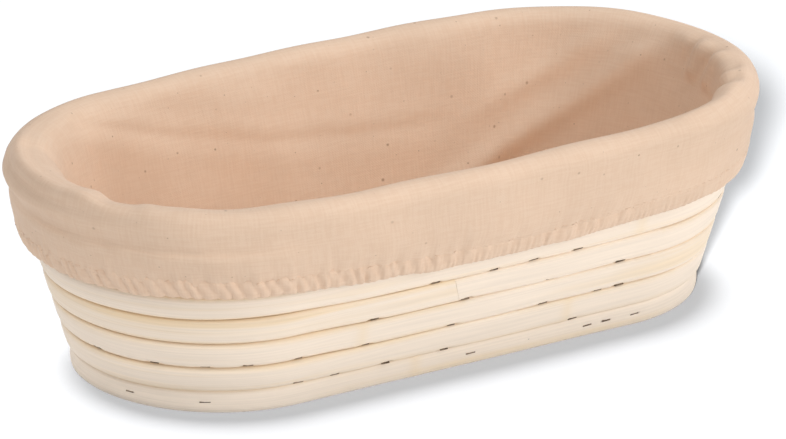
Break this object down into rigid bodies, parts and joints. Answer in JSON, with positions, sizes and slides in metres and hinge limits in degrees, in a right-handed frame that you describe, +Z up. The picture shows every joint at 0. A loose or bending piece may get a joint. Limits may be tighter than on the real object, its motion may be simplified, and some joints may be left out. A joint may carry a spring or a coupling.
{
  "type": "proofing basket",
  "caption": "Oval bread-proofing basket coiled from stapled round cane, with a removable cloth liner folded over the rim as an elasticated cuff.",
  "frame": {"origin": "centre of the basket's plan, on the surface that it stands on", "axes": "+X along the basket's length, +Z up"},
  "size_m": [0.2782, 0.1456, 0.0768],
  "materials": {
    "cane": "peeled, unvarnished",
    "staple_wire": "dull wire",
    "liner_cloth": "plain-woven unbleached cotton",
    "elastic": "knitted elastic"
  },
  "bodies": {
    "basket": {"base_cane": "cane", "foot_cane": "cane", "lower_wall_cane": "cane", "upper_wall_cane": "cane", "rim_cane": "cane", "base_staples": "staple_wire", "foot_staples": "staple_wire", "lower_wall_staples": "staple_wire", "upper_wall_staples": "staple_wire", "rim_staples": "staple_wire"},
    "liner": {"liner_base_panel": "liner_cloth", "liner_side_band": "liner_cloth", "liner_cuff": "liner_cloth", "hem_casing": "liner_cloth", "hem_elastic": "elastic"}
  },
  "joints": [
    {"name": "liner_lift", "type": "slide", "parent": "basket", "child": "liner", "axis": [0, 0, 1], "range_m": [0, 0.11], "deforming": ["liner_cuff", "hem_casing", "hem_elastic"]}
  ]
}
